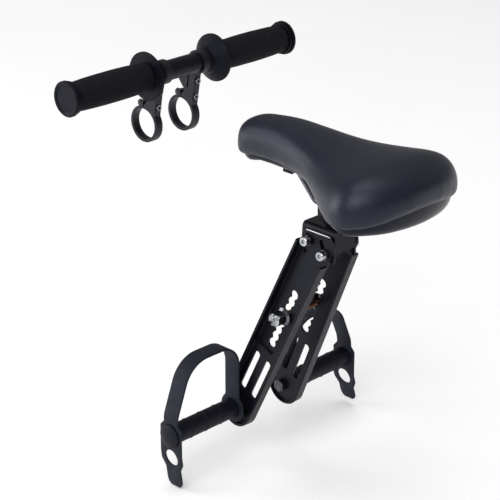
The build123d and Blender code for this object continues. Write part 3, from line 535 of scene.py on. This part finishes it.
def inflate(piece):
    """Blows the skin up by cloth simulation from a slightly slack start, held along its underside."""
    vertices = piece.data.vertices
    held = [vertex.index for vertex in vertices if vertex.normal.z < SADDLE_HELD_SLOPE]
    piece.vertex_groups.new(name="held").add(held, 1.0, "REPLACE")
    slack = [Vector() if vertex.normal.z < SADDLE_HELD_SLOPE else -SADDLE_SLACK * vertex.normal
             for vertex in vertices]
    for vertex, move in zip(vertices, slack):
        vertex.co += move
    start = [vertex.co.copy() for vertex in vertices]
    cloth = piece.modifiers.new("cloth", "CLOTH")
    cloth.settings.use_pressure = True
    cloth.settings.uniform_pressure_force = SADDLE_PRESSURE
    cloth.settings.effector_weights.gravity = 0
    cloth.settings.vertex_group_mass = "held"
    for step in range(1, SADDLE_FRAMES + 1):
        bpy.context.scene.frame_set(step)
    apply_modifiers(piece)
    bpy.context.scene.frame_set(1)
    for vertex, place in zip(piece.data.vertices, start):
        move = vertex.co - place
        if move.length > SADDLE_SWELL:
            vertex.co = place + move * (SADDLE_SWELL / move.length)


def saddle_cover():
    """The padded cover, blown up from the filled form of its solid."""
    piece = new_piece("saddle_skin", nodes["saddle_cover"].data.copy())
    remesh = piece.modifiers.new("remesh", "REMESH")
    remesh.mode = "VOXEL"
    remesh.voxel_size = SADDLE_VOXEL
    apply_modifiers(piece)
    fill_cover(piece)
    inflate(piece)
    soften = piece.modifiers.new("soften", "SMOOTH")
    soften.factor = SADDLE_SOFTNESS
    soften.iterations = SADDLE_SMOOTHING
    divide = piece.modifiers.new("divide", "SUBSURF")
    divide.levels = 1
    divide.render_levels = 1
    apply_modifiers(piece)
    smooth_shading(piece.data)
    stand_in(piece, "saddle_cover", "vinyl")


def even_line(points, count):
    """The same line with evenly spaced points."""
    lengths = [0.0]
    for first, second in zip(points, points[1:]):
        lengths.append(lengths[-1] + (second - first).length)
    line = []
    index = 0
    for step in range(count + 1):
        along = lengths[-1] * step / count
        while index < len(points) - 2 and lengths[index + 1] < along:
            index += 1
        share = (along - lengths[index]) / (lengths[index + 1] - lengths[index])
        line.append(points[index].lerp(points[index + 1], share))
    return line


def edge_end(places, last, reach):
    """Rounds the edge off from its last point to the middle of the cover's end."""
    foot = min(place.z for place in places if abs(place.x - reach) < SHELL_END_DEPTH)
    points = []
    for step in range(1, SHELL_END_STEPS + 1):
        share = 1 - step / SHELL_END_STEPS
        x = reach + (last.x - reach) * share**2
        points.append(Vector((x, last.y * share, foot + (last.z - foot) * share)))
    return points


def cover_edge():
    """The left half of the cover's lower edge, from the nose to the tail."""
    shape = welded_copy("saddle_cover")
    underside = {face for face in shape.faces if face.normal.z < SHELL_UNDERSIDE_SLOPE}
    rim = [edge for edge in shape.edges if len(underside.intersection(edge.link_faces)) == 1]
    places = [vertex.co.copy() for vertex in shape.verts]
    corners = dict.fromkeys(vertex for edge in rim for vertex in edge.verts if vertex.co.y > 0)
    points = sorted((vertex.co.copy() for vertex in corners), key=lambda place: -place.x)
    shape.free()
    low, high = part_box("saddle_cover")
    body = [place for place in points if low.x + SHELL_END_CUT < place.x < high.x - SHELL_END_CUT]
    nose = edge_end(places, body[0], high.x)
    tail = edge_end(places, body[-1], low.x)
    line = even_line([*reversed(nose), *body, *tail], SHELL_POINTS)
    for _ in range(SHELL_EVENING):
        inner = [(a + 2 * b + c) / 4 for a, b, c in zip(line, line[1:], line[2:])]
        line = [line[0], *inner, line[-1]]
    return line


def shell_profile(place):
    """Inset and drop from a point of the cover's edge, over the rounded outside to the inner wall."""
    tail = eased((SHELL_TAIL_X - place.x) / SHELL_TAIL_RUN)
    nose = eased((place.x - SHELL_NOSE_X) / SHELL_NOSE_RUN)
    depth = SHELL_DEPTH + max(place.z - SHELL_FLOOR - SHELL_DEPTH, 0) * tail
    depth += max(place.z - SHELL_NOSE_FLOOR - SHELL_DEPTH, 0) * nose
    rounding = min(SHELL_ROUND + (SHELL_NOSE_ROUND - SHELL_ROUND) * nose, SHELL_ROUND_SHARE * depth)
    profile = [(SHELL_INSET, -SHELL_TOP)]
    for step in range(SHELL_ARC_STEPS + 1):
        turn = radians(90 * step / SHELL_ARC_STEPS)
        profile.append((SHELL_INSET + rounding * (1 - cos(turn)), depth * sin(turn)))
    lip = SHELL_INSET + rounding + SHELL_WALL
    return profile + [(lip, depth), (lip, SHELL_PLATE)]


def shell_rings(shape):
    """Rings of points around the shell, each as its left and its right half from nose to tail."""
    line = cover_edge()
    columns = []
    for index, place in enumerate(line):
        before = line[max(index - 1, 0)]
        after = line[min(index + 1, SHELL_POINTS)]
        outward = Vector((after.y - before.y, before.x - after.x, 0)).normalized()
        if index in (0, SHELL_POINTS):
            outward = Vector((1 if index == 0 else -1, 0, 0))
        profile = shell_profile(place)
        columns.append([place - inset * outward - Vector((0, 0, drop)) for inset, drop in profile])
    for ring in zip(*columns):
        left = [shape.verts.new(place) for place in ring]
        right = [shape.verts.new((place.x, -place.y, place.z)) for place in ring[1:-1]]
        yield left, [left[0], *right, left[-1]]


def across_shell(shape, left, right):
    """Closes a ring with strips from side to side."""
    for index in range(SHELL_POINTS):
        corners = (left[index], left[index + 1], right[index + 1], right[index])
        shape.faces.new(dict.fromkeys(corners))


def rail_end(side, front):
    """The middle of a rail's end."""
    places = [vertex.co for vertex in nodes[f"saddle_rail_{side}"].data.vertices]
    reach = max(place.x for place in places) if front else min(place.x for place in places)
    ring = [place for place in places if abs(place.x - reach) < RAIL_END_DEPTH]
    return sum(ring, Vector()) / len(ring)


def add_socket(shape, end, inward, top):
    """A rounded block under the shell that holds the end of a rail."""
    half_side = RAIL_RADIUS + SOCKET_WALL
    low = Vector((end.x - inward * SOCKET_WALL, end.y - half_side, end.z - half_side))
    high = Vector((low.x + inward * SOCKET_LENGTH, end.y + half_side, top))
    made = bmesh.ops.create_cube(shape, size=1.0)["verts"]
    for vertex in made:
        share = vertex.co + Vector((0.5, 0.5, 0.5))
        vertex.co = low + Vector(gap * part for gap, part in zip(high - low, share))
    edges = list(dict.fromkeys(edge for vertex in made for edge in vertex.link_edges))
    round_off(shape, edges, SOCKET_ROUND, SOCKET_ROUND_STEPS)


def saddle_shell():
    """The moulded tray under the cover, with a rounded skirt at the tail and sockets for the rails."""
    shape = bmesh.new()
    rings = list(shell_rings(shape))
    for first, second in zip(rings, rings[1:]):
        for upper, lower in zip(first, second):
            for index in range(SHELL_POINTS):
                shape.faces.new((upper[index], upper[index + 1], lower[index + 1], lower[index]))
    across_shell(shape, *rings[0])
    across_shell(shape, *rings[-1])
    plate = [vertex.co.copy() for vertex in rings[-1][0]]
    for side in SIDES:
        for front in (True, False):
            end = rail_end(side, front)
            top = min(plate, key=lambda place: abs(place.x - end.x)).z + SHELL_PLATE / 2
            add_socket(shape, end, -1 if front else 1, top)
    bmesh.ops.recalc_face_normals(shape, faces=shape.faces)
    mesh = smooth_mesh(shape, "saddle_shell")
    mesh.set_sharp_from_angle(angle=SHARP_ANGLE)
    stand_in(new_piece("saddle_shell", mesh), "saddle_base", "base_plastic")


def foot_strap(side):
    """A copy of the CAD strap with its flat faces joined and its sharp edges rounded."""
    node = f"foot_strap_{side}"
    shape = welded_copy(node)
    bmesh.ops.dissolve_limit(shape, angle_limit=FLAT_ANGLE, verts=shape.verts, edges=shape.edges)
    sharp = [edge for edge in shape.edges if edge.calc_face_angle(0) > SHARP_ANGLE]
    round_off(shape, sharp, STRAP_ROUND, STRAP_ROUND_STEPS)
    piece = new_piece(f"strap_{side}", smooth_mesh(shape, node))
    stand_in(piece, node, "strap_rubber")


def foam_profile(low, high, thick):
    """Radius and place along the bar from one bore edge over the swelling outside to the other."""
    end = thick - FOAM_SWELL
    profile = [(FOAM_BORE, low)]
    for ring in range(FOAM_RINGS + 1):
        share = ring / FOAM_RINGS
        along = low + (high - low) * share
        radius = end + FOAM_SWELL * (1 - (2 * share - 1) ** 2)
        edge = min(along - low, high - along)
        if edge < FOAM_ROUND:
            radius -= FOAM_ROUND - (FOAM_ROUND**2 - (FOAM_ROUND - edge) ** 2) ** 0.5
        profile.append((radius, along))
    return profile + [(FOAM_BORE, high)]


def foam_grip(side):
    """A foam sleeve with shallow waves and pores in its skin."""
    node = f"grip_{side}"
    low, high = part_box(node)
    centre = (low + high) / 2
    profile = foam_profile(low.y, high.y, (high.z - low.z) / 2)
    shape = bmesh.new()
    loops = []
    for radius, along in profile:
        loop = []
        for index in range(FOAM_SIDES):
            turn = 2 * pi * index / FOAM_SIDES
            outward = Vector((cos(turn), 0, sin(turn)))
            place = Vector((centre.x, along, centre.z)) + radius * outward
            if radius > FOAM_BORE:
                pore = max(noise.noise(place / FOAM_PORE), 0) * FOAM_PORE_DEPTH
                wave = (noise.noise(place / FOAM_WAVE) + 1) / 2 * FOAM_WAVE_DEPTH
                place -= (pore + wave) * outward
            loop.append(shape.verts.new(place))
        loops.append(loop)
    for first, second in zip(loops, loops[1:] + loops[:1]):
        for index in range(FOAM_SIDES):
            after = (index + 1) % FOAM_SIDES
            shape.faces.new((first[index], first[after], second[after], second[index]))
    bmesh.ops.recalc_face_normals(shape, faces=shape.faces)
    piece = new_piece(f"foam_{side}", smooth_mesh(shape, f"foam_{side}"))
    stand_in(piece, node, "foam")


saddle_cover()
saddle_shell()
for side in SIDES:
    foot_strap(side)
    foam_grip(side)


# Studio


def camera():
    """Stands where the photo was taken from."""
    data = bpy.data.cameras.new("camera")
    data.sensor_width = SENSOR
    data.lens = FOCAL_PIXELS / IMAGE_SIZE * SENSOR
    made = new_piece("camera", data)
    made.location = CAMERA_PLACE
    made.rotation_euler = (radians(90 - CAMERA_DROP), 0, radians(180 + CAMERA_TURN))
    bpy.context.scene.camera = made


def soft_light(name, azimuth, elevation, level):
    """A broad lamp that adds a share of full light on what faces it."""
    across = cos(radians(elevation))
    turn = radians(azimuth)
    towards = Vector((across * cos(turn), across * sin(turn), sin(radians(elevation))))
    data = bpy.data.lights.new(name, "AREA")
    data.size = LAMP_SIZE
    data.energy = level * pi**2 * LAMP_REACH**2
    made = new_piece(name, data)
    made.location = (cad_box[0] + cad_box[1]) / 2 + LAMP_REACH * towards
    made.rotation_euler = towards.to_track_quat("Z", "Y").to_euler()


def floor():
    """A broad pale sheet under the lowest strap."""
    level = cad_box[0].z - FLOOR_GAP
    reach = FLOOR_REACH
    mesh = bpy.data.meshes.new("floor")
    corners = [(-reach, -reach, level), (reach, -reach, level), (reach, reach, level), (-reach, reach, level)]
    mesh.from_pydata(corners, [], [(0, 1, 2, 3)])
    finish = Finish("floor", specular=0.1)
    finish.tint(finish.noise(3), colour(246, 246, 247), colour(249, 249, 249))
    finish.gloss(finish.noise(5), 0.85, 0.95)
    finish.white_to_the_eye(FLOOR_GLOW)
    mesh.materials.append(finish.material)
    new_piece("floor", mesh)


def world(level):
    made = bpy.data.worlds.new("studio")
    made.use_nodes = True
    background = made.node_tree.nodes["Background"]
    background.inputs["Color"].default_value = (1, 1, 1, 1)
    background.inputs["Strength"].default_value = level
    bpy.context.scene.world = made


camera()
floor()
world(WORLD_LEVEL)
for name, (azimuth, elevation, level) in LAMPS.items():
    soft_light(name, azimuth, elevation, level)

bpy.context.scene.view_settings.view_transform = "Standard"
